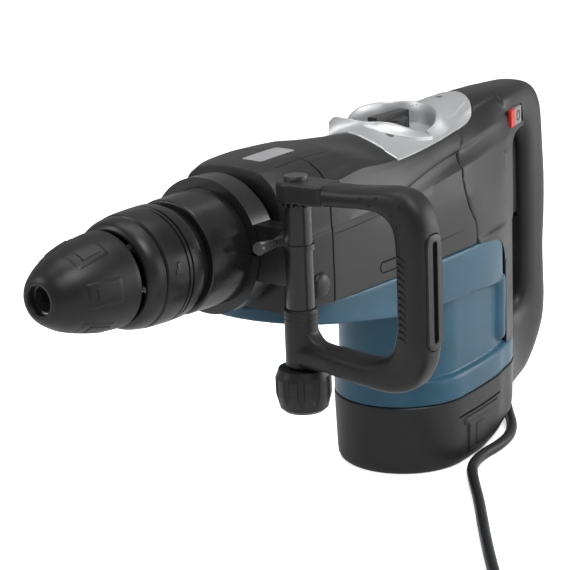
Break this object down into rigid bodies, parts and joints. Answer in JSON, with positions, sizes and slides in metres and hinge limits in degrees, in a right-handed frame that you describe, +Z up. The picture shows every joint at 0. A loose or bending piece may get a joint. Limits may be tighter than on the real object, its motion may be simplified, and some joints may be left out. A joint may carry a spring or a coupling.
{
  "type": "electric demolition hammer",
  "caption": "Corded rotary and chipping hammer with an upright motor, a quick-change tool chuck, a D-shaped side handle clamped round the barrel and a loop rear handle.",
  "frame": {"origin": "on the floor under the base cap, where the upright motor shaft meets z = 0", "axes": "+Z up along the motor shaft; the tool spindle runs along X with the chuck towards -X; the side handle at rest reaches towards -Y"},
  "size_m": [0.599, 0.4906, 0.287],
  "materials": {
    "rubber_black": "soft matte",
    "rubber_grip": "soft matte, fine dots",
    "plastic_black": "fine texture",
    "plastic_blue": "satin",
    "plastic_dark_grey": "satin",
    "plastic_red": "satin",
    "sleeve_black": "satin",
    "paint_black": "satin black paint",
    "silver_metal": "satin silver paint",
    "aluminium_cast": "cast",
    "steel_dark": "blackened",
    "steel_bright": "ground",
    "steel_gear": "machined",
    "lamination": "laminated",
    "copper": "copper windings",
    "brass": "satin",
    "carbon": "carbon",
    "pom_white": "satin",
    "cord_black": "satin"
  },
  "bodies": {
    "housing": {"oil_seal": "rubber_black", "needle_bearings": "steel_bright", "ball_bearings": "steel_bright", "bearing_plate": "aluminium_cast", "crank_case": "aluminium_cast", "crank_case_cover": "aluminium_cast", "barrel_housing": "paint_black", "front_cover": "plastic_black", "body_cover": "plastic_black", "top_cover": "silver_metal", "motor_housing": "plastic_blue", "base_cap": "plastic_black", "end_bracket": "aluminium_cast", "stator_core": "lamination", "field_coils": "copper", "carbon_brushes": "carbon", "brush_holders": "brass", "rear_handle_left": "plastic_black", "rear_handle_right": "plastic_black", "housing_screws": "steel_dark", "trigger_pin": "steel_bright", "trigger_spring": "steel_bright", "switch_body": "plastic_dark_grey", "cord_guard": "cord_black", "power_cord": "cord_black", "cord_coil": "cord_black", "plug_body": "cord_black", "plug_pins": "steel_bright"},
    "rotor": {"armature_shaft": "steel_gear", "armature_core": "lamination", "commutator": "copper", "cooling_fan": "pom_white"},
    "crank": {"crankshaft": "steel_gear", "crank_gear": "steel_gear"},
    "layshaft": {"layshaft": "steel_gear"},
    "spindle": {"tool_holder": "steel_bright", "dust_cap": "rubber_black", "cap_retaining_ring": "steel_dark", "cylinder": "steel_gear", "bevel_ring_gear": "steel_gear", "sleeve_spring": "steel_bright"},
    "release_sleeve": {"release_sleeve": "sleeve_black"},
    "roller_top": {"locking_roller_top": "steel_bright"},
    "roller_bottom": {"locking_roller_bottom": "steel_bright"},
    "impact_bolt": {"impact_bolt": "steel_bright"},
    "ram": {"ram": "steel_bright"},
    "piston": {"piston": "aluminium_cast", "wrist_pin": "steel_bright"},
    "rod": {"connecting_rod": "aluminium_cast"},
    "mode_lever": {"mode_lever": "plastic_dark_grey"},
    "trigger": {"trigger": "plastic_dark_grey"},
    "lock_slide": {"lock_slide": "plastic_red"},
    "side_clamp": {"clamp_band": "paint_black", "clamp_base": "paint_black", "index_peg": "steel_bright"},
    "side_handle": {"d_handle_frame": "plastic_black", "d_handle_grip": "rubber_grip", "grip_insert": "plastic_dark_grey", "tie_bolt": "steel_dark"},
    "knob": {"clamp_knob": "plastic_black"}
  },
  "joints": [
    {"name": "rotor_spin", "type": "hinge", "parent": "housing", "child": "rotor", "pos_m": [0, 0, 0.1], "axis": [0, 0, 1], "continuous": true},
    {"name": "crank_spin", "type": "hinge", "parent": "housing", "child": "crank", "pos_m": [-0.036, 0, 0.19], "axis": [0, 0, 1], "continuous": true},
    {"name": "layshaft_spin", "type": "hinge", "parent": "housing", "child": "layshaft", "pos_m": [-0.105, 0, 0.19], "axis": [0, 0, 1], "continuous": true},
    {"name": "spindle_spin", "type": "hinge", "parent": "housing", "child": "spindle", "pos_m": [-0.3, 0, 0.2275], "axis": [1, 0, 0], "continuous": true},
    {"name": "sleeve_slide", "type": "slide", "parent": "spindle", "child": "release_sleeve", "axis": [1, 0, 0], "range_m": [0, 0.007], "stiffness_N_per_m": 1500, "springref_m": -0.01, "deforming": ["sleeve_spring"]},
    {"name": "roller_top_slide", "type": "slide", "parent": "spindle", "child": "roller_top", "axis": [0, 0, 1], "range_m": [0, 0.0035]},
    {"name": "roller_bottom_slide", "type": "slide", "parent": "spindle", "child": "roller_bottom", "axis": [0, 0, -1], "range_m": [0, 0.0035]},
    {"name": "impact_bolt_slide", "type": "slide", "parent": "spindle", "child": "impact_bolt", "axis": [1, 0, 0], "range_m": [-0.003, 0.003]},
    {"name": "ram_slide", "type": "slide", "parent": "spindle", "child": "ram", "axis": [1, 0, 0], "range_m": [0, 0.02]},
    {"name": "piston_slide", "type": "slide", "parent": "housing", "child": "piston", "axis": [1, 0, 0], "range_m": [0, 0.036]},
    {"name": "rod_pivot", "type": "hinge", "parent": "piston", "child": "rod", "pos_m": [-0.129, 0, 0.2275], "axis": [0, 0, 1], "range_deg": [-14, 14]},
    {"name": "mode_lever_turn", "type": "hinge", "parent": "housing", "child": "mode_lever", "pos_m": [-0.012, 0, 0.27], "axis": [0, 0, 1], "range_deg": [-60, 60]},
    {"name": "trigger_pull", "type": "hinge", "parent": "housing", "child": "trigger", "pos_m": [0.1695, 0, 0.236], "axis": [0, -1, 0], "range_deg": [0, 6], "stiffness_Nm_per_rad": 2, "springref_deg": -20.05, "deforming": ["trigger_spring"]},
    {"name": "lock_slide_move", "type": "slide", "parent": "housing", "child": "lock_slide", "axis": [0.9613, 0.2756, 0], "range_m": [0, 0.006]},
    {"name": "side_clamp_turn", "type": "hinge", "parent": "housing", "child": "side_clamp", "pos_m": [-0.2265, 0, 0.2275], "axis": [1, 0, 0], "range_deg": [-180, 180]},
    {"name": "side_handle_turn", "type": "hinge", "parent": "side_clamp", "child": "side_handle", "pos_m": [-0.2265, -0.076, 0.215], "axis": [0, 0, 1], "range_deg": [-90, 45]},
    {"name": "knob_turn", "type": "hinge", "parent": "side_handle", "child": "knob", "pos_m": [-0.2265, -0.076, 0.134], "axis": [0, 0, 1], "range_deg": [0, 720]}
  ],
  "couplings": [
    {"joint": "crank_spin", "follows": "rotor_spin", "ratio": -0.17073},
    {"joint": "layshaft_spin", "follows": "rotor_spin", "ratio": 0.13725},
    {"joint": "spindle_spin", "follows": "rotor_spin", "ratio": -0.041592},
    {"joint": "roller_top_slide", "follows": "sleeve_slide", "ratio": 0.5},
    {"joint": "roller_bottom_slide", "follows": "sleeve_slide", "ratio": 0.5}
  ]
}
